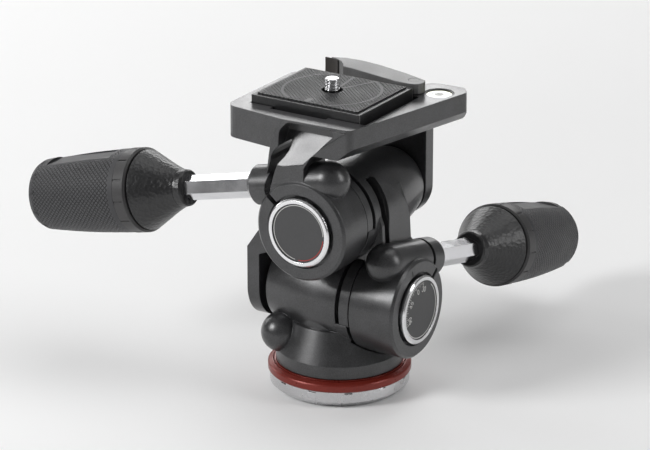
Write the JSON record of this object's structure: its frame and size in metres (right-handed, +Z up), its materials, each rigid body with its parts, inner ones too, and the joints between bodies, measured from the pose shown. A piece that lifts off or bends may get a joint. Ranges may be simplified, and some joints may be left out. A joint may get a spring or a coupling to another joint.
{
  "type": "three way pan tilt head",
  "caption": "Three way camera head: pan, front-back tilt and side tilt clamp collars, two lock handles, quick release plate.",
  "frame": {"origin": "centre of the base plate's bottom face", "axes": "+Z up the pan axis, +X along the front-back tilt axis towards its dial, -Y along the side tilt axis towards its disc"},
  "size_m": [0.1781, 0.1799, 0.1337],
  "materials": {
    "base_silver": "satin",
    "ring_red": "satin",
    "steel": "brushed",
    "body": "satin, fine grain",
    "bright_ring": "polished",
    "dial": "matte",
    "knob": "matte",
    "vial": "clear",
    "lever": "satin",
    "inlay": "matte",
    "brass": "satin",
    "plate": "satin",
    "pad": "textured",
    "rod": "polished",
    "cone": "pebbled",
    "grip": "textured"
  },
  "bodies": {
    "base": {"base_plate": "base_silver", "red_ring": "ring_red", "pan_spindle": "steel", "spindle_nut": "steel"},
    "pan": {"pan_body": "body", "pitch_journal": "steel", "pitch_stop_ring": "body", "pitch_end_ring": "bright_ring", "pitch_dial": "dial", "pitch_pivot_pin": "steel"},
    "pan_lock": {"pan_lock_screw": "steel", "pan_lock_knob": "knob"},
    "tilt": {"tilt_body": "body", "roll_journal": "steel", "roll_stop_ring": "body", "roll_end_ring": "bright_ring", "roll_disc": "dial", "roll_pivot_pin": "steel"},
    "top": {"top_body": "body", "bubble_cup": "knob", "bubble_vial": "vial", "lever_pin": "steel"},
    "lever_arm": {"lever": "lever", "lever_inlay": "inlay"},
    "plunger": {"release_plunger": "brass"},
    "plate": {"qr_plate": "plate", "rubber_pad": "pad"},
    "camera_bolt": {"camera_screw": "steel", "screw_loop": "steel"},
    "pitch_lock": {"pitch_lock_screw": "steel", "pitch_washer": "steel", "pitch_rod": "rod"},
    "pitch_handle": {"pitch_nose": "cone", "pitch_cone": "cone", "pitch_sleeve": "grip", "pitch_grip": "grip"},
    "roll_lock": {"roll_lock_screw": "steel", "roll_washer": "steel", "roll_rod": "rod"},
    "roll_handle": {"roll_nose": "cone", "roll_cone": "cone", "roll_sleeve": "grip", "roll_grip": "grip"}
  },
  "joints": [
    {"name": "pan_turn", "type": "hinge", "parent": "base", "child": "pan", "pos_m": [0, 0, 0.02], "axis": [0, 0, 1], "continuous": true},
    {"name": "pan_lock_turn", "type": "hinge", "parent": "pan", "child": "pan_lock", "pos_m": [-0.02, -0.0015, 0.024], "axis": [0.0993, -0.9951, 0], "range_deg": [-180, 180]},
    {"name": "front_back_tilt", "type": "hinge", "parent": "pan", "child": "tilt", "pos_m": [0, 0, 0.0403], "axis": [1, 0, 0], "range_deg": [-30, 65]},
    {"name": "side_tilt", "type": "hinge", "parent": "tilt", "child": "top", "pos_m": [0.003, 0, 0.0783], "axis": [0, 1, 0], "range_deg": [-30, 84]},
    {"name": "lever_swing", "type": "hinge", "parent": "top", "child": "lever_arm", "pos_m": [0.0204, 0.0246, 0.1246], "axis": [0, 0, 1], "range_deg": [-60, 0]},
    {"name": "plunger_press", "type": "slide", "parent": "top", "child": "plunger", "axis": [0, 0, -1], "range_m": [0, 0.0015]},
    {"name": "plate_lift", "type": "slide", "parent": "top", "child": "plate", "axis": [0.6084, 0, 0.7936], "range_m": [0, 0.015]},
    {"name": "camera_screw_turn", "type": "hinge", "parent": "plate", "child": "camera_bolt", "pos_m": [-0.0024, -0.0022, 0.1246], "axis": [0, 0, 1], "continuous": true},
    {"name": "front_back_lock_turn", "type": "hinge", "parent": "tilt", "child": "pitch_lock", "pos_m": [0.0274, 0.00409, 0.05803], "axis": [0, 0.9744, -0.225], "range_deg": [-180, 180]},
    {"name": "front_back_grip_slide", "type": "slide", "parent": "pitch_lock", "child": "pitch_handle", "axis": [0, -0.9744, 0.225], "range_m": [0, 0.025]},
    {"name": "side_lock_turn", "type": "hinge", "parent": "top", "child": "roll_lock", "pos_m": [-0.00109, -0.0262, 0.09603], "axis": [-0.9744, 0, -0.225], "range_deg": [-180, 180]},
    {"name": "side_grip_slide", "type": "slide", "parent": "roll_lock", "child": "roll_handle", "axis": [0.9744, 0, 0.225], "range_m": [0, 0.025]}
  ]
}
